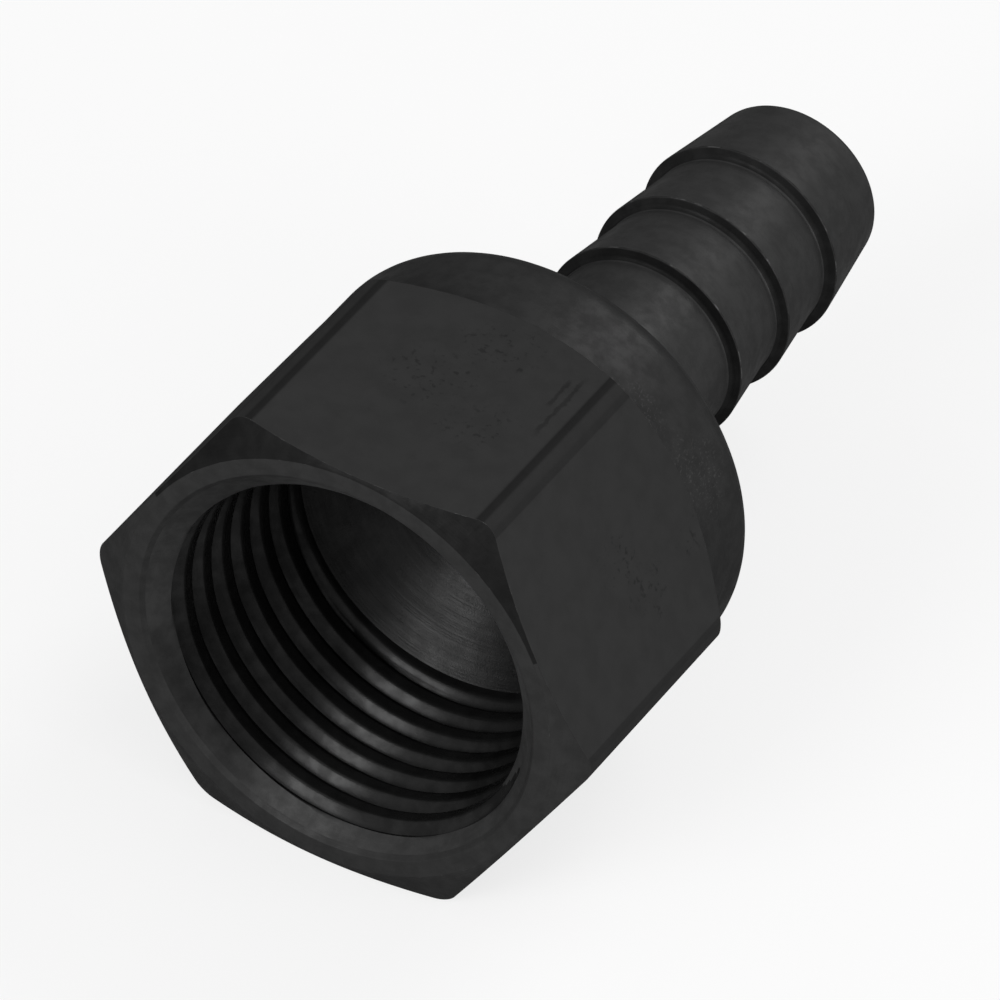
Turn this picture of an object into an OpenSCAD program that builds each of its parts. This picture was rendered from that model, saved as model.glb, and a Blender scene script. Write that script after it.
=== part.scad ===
// One-piece hose fitting turned from hexagonal bar: a female pipe thread in the
// hexagonal end, a rounded shoulder, a neck and a barbed tail for a hose.
// It lies on one flat of the hexagon with its axis along Y, mouth towards -Y.
// The origin is the centre of the mouth face. All sizes are in millimetres.

/* [Hexagonal body] */
// Width across the flats of the hexagon
hex_af = 25.4; // [24.8:0.1:30]
// Rounding radius of the six long corners
corner_round = 1.4; // [0.4:0.1:3]
// Length from the mouth face to the rear end of the long corners
hex_length = 14.1; // [8:0.1:17]
// Diameter of the mouth face, where the chamfer of the corners starts
face_d = 25; // [24.6:0.1:28]
// Angle between the axis and the chamfer at the mouth
face_chamfer_angle = 65; // [30:1:75]
// Angle between the axis and the turned slope behind the corners
rear_chamfer_angle = 50; // [30:1:60]

/* [Shoulder and neck] */
// Depth that the round part behind the hexagon is turned below the flats
shoulder_relief = 0.02; // [0.01:0.01:0.5]
// Length from the mouth face to the corner of the shoulder
body_length = 20.5; // [19:0.1:26]
// Rounding radius of the shoulder's corner
shoulder_round = 1.8; // [0.5:0.1:2.5]
// Angle between the axis and the back slope of the shoulder
shoulder_angle = 60; // [45:1:75]
// Rounding radius where the slope runs into the neck
neck_fillet = 3; // [0.5:0.1:4]
// Diameter of the neck, and of the tail between the ridges
neck_d = 10.5; // [9.8:0.1:11.5]
// Length of the neck from the foot of the slope to the first ridge
neck_length = 7; // [4:0.1:14]

/* [Barbed tail] */
// Diameter over the sharp edge of a ridge
ridge_d = 11.75; // [11.7:0.05:13]
// Number of ridges on the tail
ridge_count = 3; // [2:1:5]
// Distance from one ridge to the next
ridge_pitch = 5.15; // [4:0.01:7]
// Length of the steep step up to a ridge, on the side towards the body
ridge_step = 0.22; // [0.1:0.01:0.6]
// Rounding radius at the foot of a step
ridge_foot_round = 0.2; // [0.05:0.01:0.25]
// Rounding radius on the edge of a ridge
ridge_edge_round = 0.1; // [0.02:0.01:0.15]
// Diameter of the tail's end
nose_d = 9.9; // [8.8:0.1:10.4]
// Length from the last ridge to the tail's end
nose_length = 6.2; // [3:0.1:10]
// Rounding radius of the tail's end
nose_round = 0.6; // [0.1:0.1:0.6]

/* [Threaded socket] */
// Pitch diameter of the pipe thread, the diameter of the plain bore here
thread_d = 19.8; // [19:0.1:21]
// Depth of the thread from the mouth face
thread_depth = 12.5; // [8:0.1:14]
// Diameter of the countersink at the mouth face
mouth_d = 23.1; // [22.4:0.1:24.4]
// Diameter of the hole drilled for the thread
drill_d = 18.5; // [16:0.1:18.8]
// Length of drilled wall left plain beyond the thread
drill_runout = 1; // [0.5:0.1:2]
// Full angle of the drill point that shapes the socket's floor
drill_point_angle = 118; // [90:1:140]

/* [Hose bore] */
// Diameter of the hole through the neck and tail
hose_bore_d = 7.1; // [5:0.1:7.8]
// Width of the chamfer where the hole leaves the tail
bore_chamfer = 0.4; // [0.1:0.1:0.6]

/* [Hidden] */
hex_r = hex_af / 2;
corner_r = hex_r / cos(30);
shoulder_r = hex_r - shoulder_relief;
face_r = face_d / 2;
neck_r = neck_d / 2;
ridge_r = ridge_d / 2;
nose_r = nose_d / 2;
thread_r = thread_d / 2;
mouth_r = mouth_d / 2;
drill_r = drill_d / 2;
hose_bore_r = hose_bore_d / 2;
face_chamfer_length = (corner_r - face_r) / tan(face_chamfer_angle);
rear_chamfer_end = hex_length + (corner_r - shoulder_r) / tan(rear_chamfer_angle);
slope_foot = body_length + (shoulder_r - neck_r) / tan(shoulder_angle);
first_ridge = slope_foot + neck_length;
last_ridge = first_ridge + (ridge_count - 1) * ridge_pitch;
total_length = last_ridge + nose_length;
drill_depth = thread_depth + drill_runout;
drill_point_length = (drill_r - hose_bore_r) / tan(drill_point_angle / 2);
// Amount by which a cutting tool runs past a face
overrun = 1;
// Steps in each rounded corner of an outline
corner_steps = 10;

// Unit vector from point a to point b
function heading(a, b) = (b - a) / norm(b - a);

// Points of the arc of radius r that rounds corner b between points a and c
function rounded_corner(a, b, c, r) =
    let (
        to_a = heading(b, a),
        to_c = heading(b, c),
        half_angle = acos(to_a * to_c) / 2,
        middle = b + heading([0, 0], to_a + to_c) * r / sin(half_angle),
        start = b + to_a * r / tan(half_angle) - middle,
        side = sign(to_c[0] * to_a[1] - to_c[1] * to_a[0]),
        sweep = side * (180 - 2 * half_angle)
    )
    [for (i = [0:corner_steps])
        let (t = sweep * i / corner_steps)
        middle + [start[0] * cos(t) - start[1] * sin(t), start[0] * sin(t) + start[1] * cos(t)]];

// Closed outline through corners given as [x, y, rounding radius]
function rounded_outline(corners) =
    let (count = len(corners), at = [for (c = corners) [c[0], c[1]]])
    [for (i = [0:count - 1])
        each corners[i][2] > 0
            ? rounded_corner(at[(i + count - 1) % count], at[i], at[(i + 1) % count], corners[i][2])
            : [at[i]]];

// Hexagonal bar with rounded corners, two of them on the X axis
module hexagonal_bar() {
    linear_extrude(total_length)
        polygon(rounded_outline([for (i = [0:5])
            [corner_r * cos(60 * i), corner_r * sin(60 * i), corner_round]]));
}

// Outside of the fitting as the lathe turns it, radius along X and length along Y
module turned_outline() {
    ridges = [for (i = [0:ridge_count - 1])
        let (at = first_ridge + i * ridge_pitch)
        each [[neck_r, at - ridge_step, ridge_foot_round], [ridge_r, at, ridge_edge_round]]];
    polygon(rounded_outline(concat(
        [
            [0, 0, 0],
            [face_r, 0, 0],
            [corner_r, face_chamfer_length, 0],
            [corner_r, hex_length, 0],
            [shoulder_r, rear_chamfer_end, 0],
            [shoulder_r, body_length, shoulder_round],
            [neck_r, slope_foot, neck_fillet]
        ],
        ridges,
        [
            [nose_r, total_length, nose_round],
            [0, total_length, 0]
        ]
    )));
}

// Socket drilled and bored for the pipe thread, with its countersunk mouth
module threaded_socket() {
    countersink_depth = mouth_r - thread_r;
    translate([0, 0, -overrun])
        cylinder(r = thread_r, h = thread_depth + overrun);
    translate([0, 0, -overrun])
        cylinder(r1 = mouth_r + overrun, r2 = thread_r, h = countersink_depth + overrun);
    cylinder(r = drill_r, h = drill_depth);
    translate([0, 0, drill_depth])
        cylinder(r1 = drill_r, r2 = hose_bore_r, h = drill_point_length);
}

// Hole through the neck and tail, eased where it leaves the tail
module hose_bore() {
    cylinder(r = hose_bore_r, h = total_length + overrun);
    translate([0, 0, total_length - bore_chamfer])
        cylinder(r1 = hose_bore_r, r2 = hose_bore_r + bore_chamfer + overrun, h = bore_chamfer + overrun);
}

module hose_fitting() {
    color([0.16, 0.16, 0.17])
        rotate([-90, 0, 0])
            difference() {
                intersection() {
                    hexagonal_bar();
                    rotate_extrude($fn = 180) turned_outline();
                }
                threaded_socket($fn = 120);
                hose_bore($fn = 96);
            }
}

hose_fitting();
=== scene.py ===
from math import atan2, cos, hypot, pi, radians, sin, sqrt, tan

import bmesh
import bpy
from mathutils import Matrix, Vector


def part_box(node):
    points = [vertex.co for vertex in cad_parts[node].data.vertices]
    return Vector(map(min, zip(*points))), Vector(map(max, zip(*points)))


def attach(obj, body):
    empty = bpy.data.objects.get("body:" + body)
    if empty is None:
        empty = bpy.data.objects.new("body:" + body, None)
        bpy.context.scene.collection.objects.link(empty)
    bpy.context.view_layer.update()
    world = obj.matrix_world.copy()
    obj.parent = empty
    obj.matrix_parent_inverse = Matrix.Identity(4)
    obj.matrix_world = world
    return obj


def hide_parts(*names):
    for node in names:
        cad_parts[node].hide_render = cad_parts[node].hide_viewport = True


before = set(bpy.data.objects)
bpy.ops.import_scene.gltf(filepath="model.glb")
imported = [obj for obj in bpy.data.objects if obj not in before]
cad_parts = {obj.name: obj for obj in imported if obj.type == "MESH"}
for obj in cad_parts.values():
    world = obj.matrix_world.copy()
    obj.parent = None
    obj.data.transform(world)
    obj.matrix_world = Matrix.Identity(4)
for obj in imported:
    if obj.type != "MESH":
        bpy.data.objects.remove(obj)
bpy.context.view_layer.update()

CAD_LOW, CAD_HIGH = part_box("hose_fitting")
MM = 0.001

# Sizes of the turned and milled body, the same as the solid's
TOTAL_LENGTH = CAD_HIGH.y
FLAT_R = CAD_HIGH.z
CORNER_R = FLAT_R / cos(radians(30))
CORNER_ROUND = 1.4 * MM
FACE_R = 12.5 * MM
FACE_CHAMFER_ANGLE = radians(65)
HEX_LENGTH = 14.1 * MM
REAR_CHAMFER_ANGLE = radians(50)
SHOULDER_R = FLAT_R - 0.02 * MM
BODY_LENGTH = 20.5 * MM
SHOULDER_ROUND = 1.8 * MM
SHOULDER_ANGLE = radians(60)
NECK_R = 5.25 * MM
NECK_FILLET = 3 * MM
RIDGE_R = 5.875 * MM
RIDGE_COUNT = 3
RIDGE_PITCH = 5.15 * MM
RIDGE_STEP = 0.22 * MM
RIDGE_FOOT_ROUND = 0.34 * MM
RIDGE_EDGE_ROUND = 0.1 * MM
NOSE_R = 4.95 * MM
NOSE_LENGTH = 6.2 * MM
NOSE_ROUND = 0.6 * MM
HOSE_BORE_R = 3.55 * MM
BORE_CHAMFER = 0.4 * MM
DRILL_R = 9.25 * MM
DRILL_RUNOUT = 1 * MM
DRILL_POINT_ANGLE = radians(118)
MOUTH_R = 11.55 * MM
THREAD_DEPTH = 12.5 * MM
DRILL_DEPTH = THREAD_DEPTH + DRILL_RUNOUT
POINT_END = DRILL_DEPTH + (DRILL_R - HOSE_BORE_R) / tan(DRILL_POINT_ANGLE / 2)
REAR_CHAMFER_END = HEX_LENGTH + (CORNER_R - SHOULDER_R) / tan(REAR_CHAMFER_ANGLE)
SLOPE_FOOT = BODY_LENGTH + (SHOULDER_R - NECK_R) / tan(SHOULDER_ANGLE)
LAST_RIDGE = TOTAL_LENGTH - NOSE_LENGTH
FIRST_RIDGE = LAST_RIDGE - (RIDGE_COUNT - 1) * RIDGE_PITCH

# Female taper pipe thread, 14 turns to the inch, with eased flanks, cut down to the drill's cone.
# The crest is its innermost radius at the mouth face, the height is cut outwards from there.
THREAD_PITCH = 25.4 * MM / 14
THREAD_TAPER = 1 / 32
THREAD_CREST_R = 10.2 * MM
THREAD_HEIGHT = 0.56 * MM
THREAD_FLANK_ANGLE = radians(40)
THREAD_ROOT_FLAT = 0.07 * MM
THREAD_SOFTNESS = 0.06 * MM
THREAD_START = 1.24 * MM
CONE_SLOPE = tan(DRILL_POINT_ANGLE / 2)
THREAD_END = DRILL_DEPTH - (THREAD_CREST_R - DRILL_DEPTH * THREAD_TAPER - DRILL_R) / CONE_SLOPE
SOCKET_END_R = DRILL_R + (DRILL_DEPTH - THREAD_END) * CONE_SLOPE
ROWS_PER_TURN = 22

# Fineness of the lathe work and the small edges
TURN_STEPS = 240
ARC_SEGMENTS = 8
CORNER_FACETS = 7
EDGE_BREAK = 0.06 * MM
EDGE_ANGLE = radians(20)
RIM_ROUND = 0.12 * MM
RIM_DEPTH = 0.25 * MM
SHARP_ANGLE = radians(32)
CUT_TOLERANCE = 1e-7
MERGE_DISTANCE = 0.002 * MM
# How far the socket's wall may stand off the countersink's cone and still count as part of it
COUNTERSINK_SLACK = 0.06 * MM

# Material slots of the piece, in this order
BAR, TURNED, TURNED_PAINTED_SHADE, MOUTH, THREADED, DRILLED, WORN_AND_GLINTS = range(7)


def new_object(name, bm):
    """Turns a finished bmesh into an object of the scene."""
    mesh = bpy.data.meshes.new(name)
    bm.to_mesh(mesh)
    bm.free()
    piece = bpy.data.objects.new(name, mesh)
    bpy.context.scene.collection.objects.link(piece)
    return piece


def turned_line(bm, corners):
    """A line through (radius, length, rounding) corners, with an arc at each rounded one."""
    verts = [bm.verts.new((r, y, 0)) for r, y, _ in corners]
    for pair in zip(verts, verts[1:]):
        bm.edges.new(pair)
    arcs = []
    for i, (_, _, rounding) in enumerate(corners):
        if rounding:
            turn = (verts[i].co - verts[i - 1].co).angle(verts[i + 1].co - verts[i].co)
            arcs.append((verts[i], rounding * tan(turn / 2)))
    for vert, offset in arcs:
        bmesh.ops.bevel(bm, geom=[vert], offset=offset, offset_type="OFFSET", segments=ARC_SEGMENTS,
                        profile=0.5, affect="VERTICES", material=-1)


def ridge_corners():
    """The foot and the edge of each ridge, as corners of the turned line."""
    for i in range(RIDGE_COUNT):
        at = FIRST_RIDGE + i * RIDGE_PITCH
        yield (NECK_R, at - RIDGE_STEP, RIDGE_FOOT_ROUND)
        yield (RIDGE_R, at, RIDGE_EDGE_ROUND)


def on_step(y):
    """Whether a length lies on one of the steep steps up to the ridges."""
    past = (y - FIRST_RIDGE) % RIDGE_PITCH
    return past > RIDGE_PITCH - RIDGE_STEP - RIDGE_FOOT_ROUND / 2 and y < LAST_RIDGE


def shell_slot(r, y, z):
    """Material slot of a face of the turned shell, from the place of its middle."""
    on_tail = y > SLOPE_FOOT
    if on_tail and r > RIDGE_R - RIDGE_EDGE_ROUND / 4:
        return WORN_AND_GLINTS
    # Painted shade: the ridges' steps and the two upper chamfers at the front take a darker copy of the
    # turned finish
    if on_tail and r > NECK_R + RIDGE_EDGE_ROUND / 2 and on_step(y):
        return TURNED_PAINTED_SHADE
    if r > FACE_R and y < HEX_LENGTH / 2 and z > FLAT_R / 2:
        return TURNED_PAINTED_SHADE
    in_bore = r < HOSE_BORE_R + BORE_CHAMFER
    on_cone = r < SOCKET_END_R and y < POINT_END
    return DRILLED if in_bore or on_cone else TURNED


def turned_shell():
    """Everything the lathe shapes but the thread, open from the mouth's rim to the thread's end."""
    bm = bmesh.new()
    turned_line(bm, [
        (MOUTH_R - RIM_DEPTH, RIM_DEPTH, 0),
        (MOUTH_R, 0, RIM_ROUND),
        (FACE_R, 0, 0),
        (CORNER_R, (CORNER_R - FACE_R) / tan(FACE_CHAMFER_ANGLE), 0),
        (CORNER_R, HEX_LENGTH, 0),
        (SHOULDER_R, REAR_CHAMFER_END, 0),
        (SHOULDER_R, BODY_LENGTH, SHOULDER_ROUND),
        (NECK_R, SLOPE_FOOT, NECK_FILLET),
        *ridge_corners(),
        (NOSE_R, TOTAL_LENGTH, NOSE_ROUND),
        (HOSE_BORE_R + BORE_CHAMFER, TOTAL_LENGTH, 0),
        (HOSE_BORE_R, TOTAL_LENGTH - BORE_CHAMFER, 0),
        (HOSE_BORE_R, POINT_END, 0),
        (SOCKET_END_R, THREAD_END, 0),
    ])
    bmesh.ops.spin(bm, geom=bm.verts[:] + bm.edges[:], cent=(0, 0, 0), axis=(0, 1, 0),
                   angle=2 * pi, steps=TURN_STEPS, use_merge=True)
    for face in bm.faces:
        middle = face.calc_center_median()
        face.material_index = shell_slot(hypot(middle.x, middle.z), middle.y, middle.z)
    return bm


def cut_flat(bm, angle, distance):
    """Mills a flat facing angle, measured from X towards Z, at a distance from the axis."""
    normal = Vector((cos(angle), 0, sin(angle)))
    cut = bmesh.ops.bisect_plane(bm, geom=bm.verts[:] + bm.edges[:] + bm.faces[:],
                                 dist=CUT_TOLERANCE, plane_co=normal * distance, plane_no=normal,
                                 clear_outer=True)
    edges = [e for e in cut["geom_cut"] if isinstance(e, bmesh.types.BMEdge)]
    flat = bmesh.ops.edgeloop_fill(bm, edges=edges)
    for face in flat["faces"]:
        face.material_index = BAR


def mill_hexagon(bm):
    """Mills the six flats, and rounds each corner between them with a row of narrow ones."""
    rounding_centre = CORNER_R - CORNER_ROUND / cos(radians(30))
    for i in range(6):
        cut_flat(bm, radians(30 + 60 * i), FLAT_R)
    for i in range(6):
        for facet in range(CORNER_FACETS):
            off = radians(60 * (facet + 1) / (CORNER_FACETS + 1) - 30)
            cut_flat(bm, radians(60 * i) + off, rounding_centre * cos(off) + CORNER_ROUND)


def break_edges(bm):
    """Takes the sharpness off the body's edges, as deburring and handling do."""
    def on_body(vert):
        outside = hypot(vert.co.x, vert.co.z) > MOUTH_R + RIM_ROUND
        return outside and vert.co.y < REAR_CHAMFER_END - EDGE_BREAK
    edges = [e for e in bm.edges if len(e.link_faces) == 2 and e.calc_face_angle() > EDGE_ANGLE
             and all(on_body(v) for v in e.verts)]
    broken = bmesh.ops.bevel(bm, geom=edges, offset=EDGE_BREAK, offset_type="OFFSET", segments=2,
                             profile=0.5, affect="EDGES", clamp_overlap=True, material=-1)
    for face in broken["faces"]:
        face.material_index = WORN_AND_GLINTS


def thread_radius(y, angle):
    """Radius of the threaded wall at a length and an angle about the axis."""
    turn = ((y - THREAD_START) / THREAD_PITCH - angle / (2 * pi)) % 1
    from_groove = max(0, abs(turn - 0.5) * THREAD_PITCH - THREAD_ROOT_FLAT)
    above = THREAD_HEIGHT - from_groove / tan(THREAD_FLANK_ANGLE)
    cut = (above + sqrt(above * above + THREAD_SOFTNESS ** 2)) / 2
    fade = min(1, 2 * (THREAD_END - y) / THREAD_PITCH)
    crest = SOCKET_END_R + (THREAD_END - y) * THREAD_TAPER
    return max(crest + cut * fade, MOUTH_R - y)


def add_thread(bm):
    """Sweeps one line of the wall round a helix and cuts the thread form into it."""
    rows = round((THREAD_END - RIM_DEPTH) / THREAD_PITCH + 1.5) * ROWS_PER_TURN
    start = RIM_DEPTH - THREAD_PITCH
    line = [bm.verts.new((DRILL_R, start + i * THREAD_PITCH / ROWS_PER_TURN, 0)) for i in range(rows)]
    edges = [bm.edges.new(pair) for pair in zip(line, line[1:])]
    shell_verts = set(bm.verts[:]) - set(line)
    shell_faces = set(bm.faces[:])
    bmesh.ops.spin(bm, geom=line + edges, cent=(0, 0, 0), axis=(0, 1, 0), angle=2 * pi,
                   dvec=(0, THREAD_PITCH / TURN_STEPS, 0), steps=TURN_STEPS, use_merge=False)
    for vert in bm.verts:
        if vert not in shell_verts:
            angle = atan2(vert.co.x, vert.co.z)
            y = min(max(vert.co.y, RIM_DEPTH), THREAD_END)
            r = thread_radius(y, angle)
            vert.co = (r * sin(angle), y, r * cos(angle))
    for face in bm.faces:
        if face not in shell_faces:
            middle = face.calc_center_median()
            on_countersink = hypot(middle.x, middle.z) < MOUTH_R - middle.y + COUNTERSINK_SLACK
            face.material_index = MOUTH if on_countersink else THREADED
    bmesh.ops.remove_doubles(bm, verts=bm.verts[:], dist=MERGE_DISTANCE)


def build_fitting():
    """Turns, mills and threads the fitting as one closed mesh."""
    bm = turned_shell()
    mill_hexagon(bm)
    break_edges(bm)
    add_thread(bm)
    bmesh.ops.recalc_face_normals(bm, faces=bm.faces[:])
    for face in bm.faces:
        face.smooth = True
    piece = new_object("fitting", bm)
    piece.data.set_sharp_from_angle(angle=SHARP_ANGLE)
    flats_true = piece.modifiers.new("flats_true", "WEIGHTED_NORMAL")
    flats_true.keep_sharp = True
    return piece


def add_node(tree, kind, sockets=(), **settings):
    """A shader node with its settings, and its input sockets given as values or as outputs to link."""
    node = tree.nodes.new("ShaderNode" + kind)
    for name, value in settings.items():
        setattr(node, name, value)
    for key, value in dict(sockets).items():
        if isinstance(value, bpy.types.NodeSocket):
            tree.links.new(value, node.inputs[key])
        else:
            node.inputs[key].default_value = value
    return node


def calc(tree, operation, *values):
    """A Math node's result, from numbers or outputs."""
    return add_node(tree, "Math", dict(enumerate(values)), operation=operation).outputs[0]


def smooth_range(tree, value, low, high):
    """Rises from 0 at low to 1 at high, or falls where low is the larger."""
    sockets = {"Value": value, "From Min": low, "From Max": high}
    return add_node(tree, "MapRange", sockets, interpolation_type="SMOOTHSTEP").outputs["Result"]


def place_in_mm(tree):
    """The place on the fitting, in its own coordinates and in millimetres."""
    place = add_node(tree, "TexCoord").outputs["Object"]
    return add_node(tree, "VectorMath", {"Vector": place, "Scale": 1 / MM}, operation="SCALE").outputs[0]


def split_place(tree):
    """The same place as three numbers, X, Y and Z."""
    return add_node(tree, "SeparateXYZ", {0: place_in_mm(tree)}).outputs


def axis_distance(tree, split):
    """Distance from the axis of the fitting."""
    square = calc(tree, "MULTIPLY", split["X"], split["X"])
    return calc(tree, "SQRT", calc(tree, "MULTIPLY_ADD", split["Z"], split["Z"], square))


def noise(tree, vector, scale, detail=2.0, roughness=0.5):
    """Cloudy noise about 0.5, its scale in cells per millimetre where the vector is in millimetres."""
    sockets = {"Vector": vector, "Scale": scale, "Detail": detail, "Roughness": roughness}
    return add_node(tree, "TexNoise", sockets).outputs["Fac"]


def new_group(name, inputs, outputs):
    """An empty shader node group, with its inputs' outputs and its output node."""
    tree = bpy.data.node_groups.new(name, "ShaderNodeTree")
    for label, value in inputs.items():
        kind = "NodeSocketVector" if isinstance(value, tuple) else "NodeSocketFloat"
        tree.interface.new_socket(label, in_out="INPUT", socket_type=kind).default_value = value
    for label in outputs:
        tree.interface.new_socket(label, in_out="OUTPUT", socket_type="NodeSocketFloat")
    return tree, tree.nodes.new("NodeGroupInput").outputs, tree.nodes.new("NodeGroupOutput")


def lathe_rings_group():
    """Fine grooves that a turning tool leaves round the axis, stronger in some places than in others."""
    tree, given, out = new_group("lathe_rings", {"Rings per mm": 7.0}, ["Height", "Tone"])
    split = split_place(tree)
    profile = add_node(tree, "CombineXYZ", {"X": axis_distance(tree, split), "Y": split["Y"]}).outputs[0]
    fine = noise(tree, profile, given["Rings per mm"], 3.0, 0.75)
    broad = noise(tree, profile, calc(tree, "MULTIPLY", given["Rings per mm"], 0.2), 1.0)
    patches = smooth_range(tree, noise(tree, place_in_mm(tree), 0.45, 2.0), 0.35, 0.65)
    strength = calc(tree, "MULTIPLY_ADD", patches, 0.6, 0.4)
    rings = calc(tree, "MULTIPLY", calc(tree, "SUBTRACT", fine, 0.5), strength)
    tree.links.new(calc(tree, "MULTIPLY_ADD", broad, 0.4, rings), out.inputs["Height"])
    tree.links.new(calc(tree, "ADD", rings, 0.5), out.inputs["Tone"])
    return tree


def oxide_mottle_group():
    """Cloudy patches, dark specks and the fine grain of a black oxide finish."""
    tree, given, out = new_group("oxide_mottle", {"Size per mm": 1.0, "Speck share": 0.3},
                                 ["Cloud", "Specks", "Grain"])
    place = place_in_mm(tree)
    size = given["Size per mm"]
    cloud = noise(tree, place, calc(tree, "MULTIPLY", size, 0.7), 5.0, 0.62)
    tree.links.new(smooth_range(tree, cloud, 0.32, 0.68), out.inputs["Cloud"])
    dots = noise(tree, place, calc(tree, "MULTIPLY", size, 2.3), 4.0, 0.6)
    edge = calc(tree, "SUBTRACT", 0.78, calc(tree, "MULTIPLY", given["Speck share"], 0.3))
    specks = smooth_range(tree, dots, edge, calc(tree, "ADD", edge, 0.1))
    tree.links.new(specks, out.inputs["Specks"])
    grain = noise(tree, place, calc(tree, "MULTIPLY", size, 9.0), 3.0, 0.7)
    tree.links.new(grain, out.inputs["Grain"])
    return tree


def patch_group():
    """A soft patch with a ragged rim, 1 in its middle and 0 beyond its reach, both in millimetres."""
    tree, given, out = new_group("patch", {"Middle": (0.0, 0.0, 0.0), "Reach": 3.0}, ["Share"])
    place = place_in_mm(tree)
    wobble = add_node(tree, "TexNoise", {"Vector": place, "Scale": 0.9, "Detail": 3.0}).outputs["Color"]
    drift = add_node(tree, "VectorMath", {0: wobble, 1: (-0.5, -0.5, -0.5)}, operation="ADD").outputs[0]
    spread = {0: drift, 1: (3.0, 3.0, 3.0), 2: place}
    moved = add_node(tree, "VectorMath", spread, operation="MULTIPLY_ADD").outputs[0]
    ends = {0: moved, 1: given["Middle"]}
    away = add_node(tree, "VectorMath", ends, operation="DISTANCE").outputs["Value"]
    share = smooth_range(tree, calc(tree, "DIVIDE", away, given["Reach"]), 1.0, 0.45)
    tree.links.new(share, out.inputs["Share"])
    return tree


def scratches_group():
    """Thin straight scratches along the X axis, after the place has been turned by the given angles."""
    tree, given, out = new_group("scratches", {"Turn": (0.0, 0.0, 0.0), "Share": 0.3}, ["Lines"])
    sockets = {"Vector": place_in_mm(tree), "Rotation": given["Turn"]}
    turned = add_node(tree, "Mapping", sockets).outputs[0]
    stretch = {0: turned, 1: (0.35, 7.0, 7.0)}
    drawn = add_node(tree, "VectorMath", stretch, operation="MULTIPLY").outputs[0]
    lines = noise(tree, drawn, 1.0, 2.0, 0.6)
    edge = calc(tree, "SUBTRACT", 0.8, calc(tree, "MULTIPLY", given["Share"], 0.3))
    tree.links.new(smooth_range(tree, lines, edge, calc(tree, "ADD", edge, 0.04)), out.inputs["Lines"])
    return tree


GROUPS = {
    "lathe_rings": lathe_rings_group(),
    "oxide_mottle": oxide_mottle_group(),
    "patch": patch_group(),
    "scratches": scratches_group(),
}

# Tint of what the blackened metal reflects when seen nearly edge-on
EDGE_TINT = 0.38
# How edge-on a surface is where its sheen is gone, and where it is whole
SHEEN_GONE, SHEEN_WHOLE = 0.96, 0.74

# Distances from the axis in millimetres between which the painted shade along a rounded corner sets in
STRIP_RISE = (14.25, 14.3)
BAND_RISE = (14.21, 14.31)
BAND_FALL = (14.44, 14.4)
# Heights in millimetres between which a band of painted shade counts as beside an upper or lower flat
BESIDE_FLAT = (12.3, 12.5)
# Lengths in millimetres between which the turned surface is painted lighter towards the tail, as painted
# light
TAIL_PAINTED_LIGHT = (19.0, 27.0)

# Places of specks, of scratches and of painted shade in millimetres, each with its reach.
# A streak has its X, its start and its end.
SPECKLED = [((-1.1, 9.3, 12.7), 3.2), ((0.9, 13.2, 12.7), 3.0), ((3.0, 7.2, 12.7), 2.4),
            ((12.0, 14.8, 4.7), 1.6), ((11.0, 8.9, 6.3), 2.0), ((12.1, 10.2, 4.4), 2.0)]
SCRATCHED = [((8.2, 14.9, 11.0), 3.4), ((10.9, 16.6, 6.4), 3.2)]
STREAKS = [(5.62, 7.8, 13.9), (5.05, 10.4, 13.2)]
# Painted shade: three patches on the socket's wall, darkened to stand in for the shade that falls there
PAINTED_SHADE_PLACES = [((-7.6, 3.5, -6.9), 7.0), ((-7.6, 9.5, -6.9), 7.0), ((8.0, 6.0, -6.2), 5.5)]


def blackened(name):
    """A blackened metal whose constant values are set, and the node tree to dress it in."""
    material = bpy.data.materials.new(name)
    material.use_nodes = True
    shader = material.node_tree.nodes["Principled BSDF"]
    shader.inputs["Specular IOR Level"].default_value = 0
    shader.inputs["Specular Tint"].default_value = (EDGE_TINT, EDGE_TINT, EDGE_TINT, 1)
    return material, material.node_tree, shader


def set_sheen(tree, shader, metallic):
    """Gives the metal's sheen, dulled where the surface is seen edge-on, as a matt oxide is."""
    facing = add_node(tree, "LayerWeight", {"Blend": 0.5}).outputs["Facing"]
    sheen = calc(tree, "MULTIPLY", smooth_range(tree, facing, SHEEN_GONE, SHEEN_WHOLE), metallic)
    tree.links.new(sheen, shader.inputs["Metallic"])


def grouped(tree, name, **values):
    """The outputs of a shared effect, placed in a material with its own values."""
    node = tree.nodes.new("ShaderNodeGroup")
    node.node_tree = GROUPS[name]
    for label, value in values.items():
        node.inputs[label.replace("_", " ")].default_value = value
    return node.outputs


def varied(tree, share, low, high):
    """A level that runs from low to high as the share runs from 0 to 1."""
    return calc(tree, "MULTIPLY_ADD", share, high - low, low)


def strongest(tree, shares):
    """The largest of several shares."""
    total = shares[0]
    for share in shares[1:]:
        total = calc(tree, "MAXIMUM", total, share)
    return total


def patched(tree, places):
    """1 in the middle of any of the places, 0 outside them all."""
    patches = [grouped(tree, "patch", Middle=middle, Reach=reach)[0] for middle, reach in places]
    return strongest(tree, patches)


def streak(tree, x, start, end):
    """A thin dark line along the bar on the upper flat."""
    place = split_place(tree)
    ragged = calc(tree, "MULTIPLY_ADD", noise(tree, place_in_mm(tree), 1.6, 3.0, 0.7), 0.5, x - 0.25)
    off = calc(tree, "ABSOLUTE", calc(tree, "SUBTRACT", place["X"], ragged))
    line = smooth_range(tree, off, 0.16, 0.05)
    middle, half = (start + end) / 2, (end - start) / 2
    along = calc(tree, "ABSOLUTE", calc(tree, "SUBTRACT", place["Y"], middle))
    return calc(tree, "MULTIPLY", line, smooth_range(tree, along, half, half * 0.6))


def raise_bumps(tree, shader, height, distance):
    """Raises the surface's relief, whose height 1 stands for the distance."""
    sockets = {"Height": height, "Distance": distance, "Strength": 1.0}
    tree.links.new(add_node(tree, "Bump", sockets).outputs[0], shader.inputs["Normal"])


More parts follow.
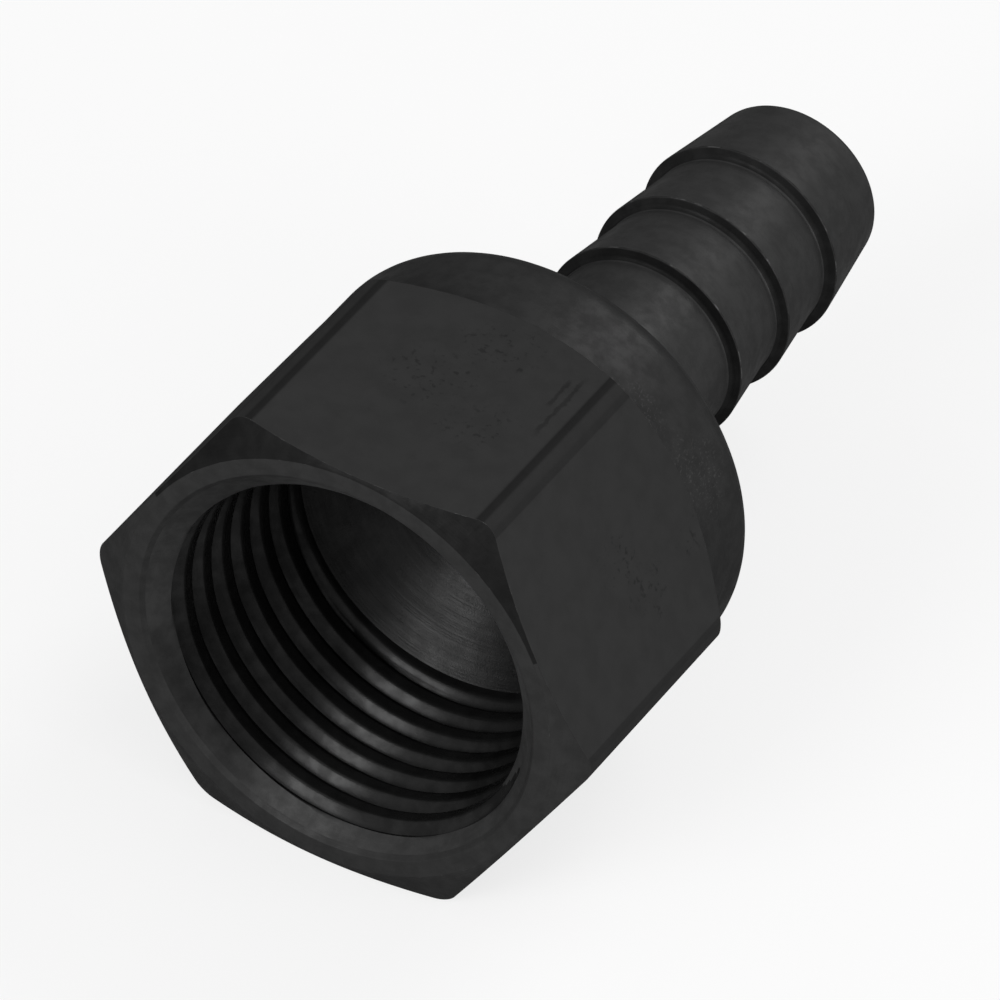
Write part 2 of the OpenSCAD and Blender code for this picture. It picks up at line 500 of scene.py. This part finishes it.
def painted_corner_shade(tree):
    """The strip of each rounded corner, and the painted shade that darkens it, deeper in the bands on
    its two sides.
    """
    place = split_place(tree)
    across = axis_distance(tree, place)
    rise = smooth_range(tree, across, *BAND_RISE)
    band = calc(tree, "MULTIPLY", rise, smooth_range(tree, across, *BAND_FALL))
    beside_flat = smooth_range(tree, calc(tree, "ABSOLUTE", place["Z"]), *BESIDE_FLAT)
    shade_bands = calc(tree, "MULTIPLY", band, varied(tree, beside_flat, 0.1, 0.32))
    strip = smooth_range(tree, across, *STRIP_RISE)
    return strip, calc(tree, "MULTIPLY_ADD", strip, 0.16, shade_bands)


def bar_skin():
    """The drawn flats and rounded corners of the bar: smooth black oxide with specks and streaks, and
    painted shade along the corners.
    """
    material, tree, shader = blackened("bar_skin")
    mottle = grouped(tree, "oxide_mottle", Size_per_mm=1.1, Speck_share=0.75)
    specks = calc(tree, "MULTIPLY", mottle["Specks"], patched(tree, SPECKLED))
    marks = strongest(tree, [specks] + [streak(tree, *place) for place in STREAKS])
    strip, shade_bands = painted_corner_shade(tree)
    # The specks and streaks are real marks; the corner bands added to them are painted shade
    dark = calc(tree, "MULTIPLY_ADD", marks, 0.3, shade_bands)
    grey = varied(tree, mottle["Cloud"], 0.0285, 0.0315)
    grey = calc(tree, "MULTIPLY", grey, calc(tree, "SUBTRACT", 1.0, dark))
    tree.links.new(grey, shader.inputs["Base Color"])
    rough = calc(tree, "MULTIPLY_ADD", strip, 0.12, varied(tree, mottle["Cloud"], 0.42, 0.48))
    tree.links.new(rough, shader.inputs["Roughness"])
    set_sheen(tree, shader, varied(tree, strip, 0.45, 0.12))
    height = calc(tree, "SUBTRACT", mottle["Grain"], marks)
    raise_bumps(tree, shader, height, 0.003 * MM)
    return material


def turned_skin(name, dark, light):
    """A turned surface with a mottled sheen and fine rings, its grey between dark and light."""
    material, tree, shader = blackened(name)
    mottle = grouped(tree, "oxide_mottle", Size_per_mm=1.3, Speck_share=0.5)
    rings = grouped(tree, "lathe_rings", Rings_per_mm=6.5)
    turns = [(0, 0, radians(turn)) for turn in (20, 65, 130)]
    lines = strongest(tree, [grouped(tree, "scratches", Turn=turn, Share=0.55)[0] for turn in turns])
    scratches = calc(tree, "MULTIPLY", lines, patched(tree, SCRATCHED))
    tone = calc(tree, "MULTIPLY_ADD", mottle["Cloud"], 0.5, calc(tree, "MULTIPLY", rings["Tone"], 0.5))
    tone = calc(tree, "MULTIPLY", tone, varied(tree, mottle["Specks"], 1.0, 0.6))
    grey = varied(tree, calc(tree, "MULTIPLY_ADD", scratches, 1.2, tone), dark, light)
    # Painted light: the turned surface is made lighter towards the tail, where more light falls on it
    painted_tail_light = smooth_range(tree, split_place(tree)["Y"], *TAIL_PAINTED_LIGHT)
    grey = calc(tree, "MULTIPLY", grey, varied(tree, painted_tail_light, 0.96, 1.25))
    tree.links.new(grey, shader.inputs["Base Color"])
    set_sheen(tree, shader, 0.42)
    tree.links.new(varied(tree, mottle["Cloud"], 0.5, 0.38), shader.inputs["Roughness"])
    height = calc(tree, "MULTIPLY_ADD", mottle["Grain"], 0.6, rings["Height"])
    raise_bumps(tree, shader, height, 0.012 * MM)
    return material


def cut_skin(name, dark, light, metallic, cloudiness, rings_per_mm, roughness, depth):
    """A surface cut inside the socket: glossier, with the rings that the tool leaves."""
    material, tree, shader = blackened(name)
    mottle = grouped(tree, "oxide_mottle", Size_per_mm=1.6, Speck_share=0.55)
    rings = grouped(tree, "lathe_rings", Rings_per_mm=rings_per_mm)
    ringed = calc(tree, "MULTIPLY", rings["Tone"], 1 - cloudiness)
    tone = calc(tree, "MULTIPLY_ADD", mottle["Cloud"], cloudiness, ringed)
    tone = calc(tree, "MULTIPLY", tone, varied(tree, mottle["Specks"], 1.0, 0.7))
    # Painted shade: the wall is darkened in the listed places to stand in for shade
    painted_shade = varied(tree, patched(tree, PAINTED_SHADE_PLACES), 1.0, 0.55)
    grey = calc(tree, "MULTIPLY", varied(tree, tone, dark, light), painted_shade)
    tree.links.new(grey, shader.inputs["Base Color"])
    set_sheen(tree, shader, metallic)
    rough = varied(tree, mottle["Cloud"], roughness + 0.04, roughness - 0.04)
    tree.links.new(rough, shader.inputs["Roughness"])
    height = calc(tree, "MULTIPLY_ADD", mottle["Grain"], 0.4, rings["Height"])
    raise_bumps(tree, shader, height, depth)
    return material


def worn_edge_and_glints():
    """Edges rubbed half bare, with lighter nicks that are painted glints."""
    material, tree, shader = blackened("worn_edge_and_glints")
    mottle = grouped(tree, "oxide_mottle", Size_per_mm=1.6, Speck_share=0.7)
    bare = calc(tree, "MULTIPLY", mottle["Cloud"], calc(tree, "SUBTRACT", 1.0, mottle["Specks"]))
    # Painted highlight: the lighter nicks stand in for glints on the edges, over a real rubbed edge
    painted_glints = smooth_range(tree, bare, 0.75, 0.95)
    grey = calc(tree, "MULTIPLY_ADD", painted_glints, 0.035, varied(tree, bare, 0.016, 0.036))
    tree.links.new(grey, shader.inputs["Base Color"])
    set_sheen(tree, shader, 0.55)
    tree.links.new(varied(tree, bare, 0.42, 0.34), shader.inputs["Roughness"])
    raise_bumps(tree, shader, mottle["Grain"], 0.015 * MM)
    return material


# Floor, studio and camera, in metres and radians
FLOOR_HALF_SIZE = 2
FLOOR_GREY = 0.85
FLOOR_GLOW_SHARE = 0.75
STUDIO_LIGHT = 0.35
LAMP_TARGET = Vector((0, 0.018, 0))
LAMP_DISTANCE = 0.6
CAMERA_LENS = 456.43
CAMERA_AZIMUTH = radians(25.748)
CAMERA_ELEVATION = radians(40.02)
CAMERA_ROLL = radians(6.543)
CAMERA_TARGET = Vector((-0.744, 18.399, -1.823)) * MM
CAMERA_DISTANCE = 0.6539


def seen_directly(tree):
    """1 for rays from the camera and for reflections, so that both find a white background."""
    path = add_node(tree, "LightPath").outputs
    return calc(tree, "MAXIMUM", path["Is Camera Ray"], path["Is Glossy Ray"])


def build_floor():
    """A plain pale floor that mostly glows white where it is seen, and so keeps a soft shadow."""
    bm = bmesh.new()
    bmesh.ops.create_grid(bm, x_segments=1, y_segments=1, size=FLOOR_HALF_SIZE)
    bmesh.ops.translate(bm, verts=bm.verts[:], vec=(0, 0, CAD_LOW.z))
    floor = new_object("floor", bm)
    material = bpy.data.materials.new("pale_floor")
    material.use_nodes = True
    tree = material.node_tree
    shader = tree.nodes["Principled BSDF"]
    shader.inputs["Base Color"].default_value = (FLOOR_GREY, FLOOR_GREY, FLOOR_GREY, 1)
    shader.inputs["Roughness"].default_value = 0.9
    glow = add_node(tree, "Emission").outputs[0]
    glow_share = calc(tree, "MULTIPLY", seen_directly(tree), FLOOR_GLOW_SHARE)
    mix = add_node(tree, "MixShader", {0: glow_share, 1: shader.outputs[0], 2: glow})
    tree.links.new(mix.outputs[0], tree.nodes["Material Output"].inputs["Surface"])
    floor.data.materials.append(material)


def softbox(name, azimuth, elevation, size, power):
    """A rectangular lamp aimed at the fitting, its azimuth in degrees from -Y towards +X."""
    data = bpy.data.lights.new(name, "AREA")
    data.shape = "RECTANGLE"
    data.size, data.size_y = size
    data.energy = power
    lamp = bpy.data.objects.new(name, data)
    turn, rise = radians(azimuth), radians(elevation)
    way = Vector((sin(turn) * cos(rise), -cos(turn) * cos(rise), sin(rise)))
    lamp.location = LAMP_TARGET + way * LAMP_DISTANCE
    lamp.rotation_euler = way.to_track_quat("Z", "Y").to_euler()
    bpy.context.scene.collection.objects.link(lamp)


def light_scene():
    """A white studio with four softboxes."""
    world = bpy.data.worlds.new("studio")
    bpy.context.scene.world = world
    world.use_nodes = True
    tree = world.node_tree
    background = tree.nodes["Background"]
    background.inputs["Color"].default_value = (1, 1, 1, 1)
    strength = varied(tree, seen_directly(tree), STUDIO_LIGHT, 1.0)
    tree.links.new(strength, background.inputs["Strength"])
    softbox("front_box", azimuth=-13, elevation=27, size=(0.26, 0.34), power=2.2)
    softbox("back_box", azimuth=163, elevation=45, size=(0.26, 0.3), power=1.15)
    softbox("fill_box", azimuth=55, elevation=40, size=(0.75, 0.75), power=1.0)
    softbox("right_box", azimuth=98, elevation=20, size=(0.3, 0.3), power=0.9)


def aim_camera():
    """A camera at the photograph's viewing angle, its azimuth counted as the lamps' are."""
    data = bpy.data.cameras.new("camera")
    data.lens = CAMERA_LENS
    data.sensor_width = 36
    data.clip_start = 0.01
    camera = bpy.data.objects.new("camera", data)
    turn, rise = CAMERA_AZIMUTH, CAMERA_ELEVATION
    back = Vector((sin(turn) * cos(rise), -cos(turn) * cos(rise), sin(rise)))
    camera.location = CAMERA_TARGET + back * CAMERA_DISTANCE
    aim = (-back).to_track_quat("-Z", "Y").to_matrix().to_4x4()
    camera.rotation_euler = (aim @ Matrix.Rotation(CAMERA_ROLL, 4, "Z")).to_euler()
    bpy.context.scene.collection.objects.link(camera)
    bpy.context.scene.camera = camera


bpy.context.scene.view_settings.view_transform = "Standard"
aim_camera()
light_scene()
build_floor()
fitting = build_fitting()
for material in (
        bar_skin(),
        turned_skin("turned_skin", dark=0.022, light=0.036),
        # A darker copy of the turned finish, painted shade on the ridges' steps and the upper chamfers
        turned_skin("turned_skin_painted_shade", dark=0.008, light=0.016),
        cut_skin("mouth_skin", dark=0.024, light=0.044, metallic=0.42, cloudiness=0.5,
                 rings_per_mm=6.0, roughness=0.42, depth=0.012 * MM),
        cut_skin("cut_thread", dark=0.012, light=0.026, metallic=0.55, cloudiness=0.5,
                 rings_per_mm=9.0, roughness=0.26, depth=0.006 * MM),
        cut_skin("drilled_wall", dark=0.003, light=0.023, metallic=0.75, cloudiness=0.1,
                 rings_per_mm=2.6, roughness=0.24, depth=0.03 * MM),
        worn_edge_and_glints()):
    fitting.data.materials.append(material)
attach(fitting, "root")
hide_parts("hose_fitting")
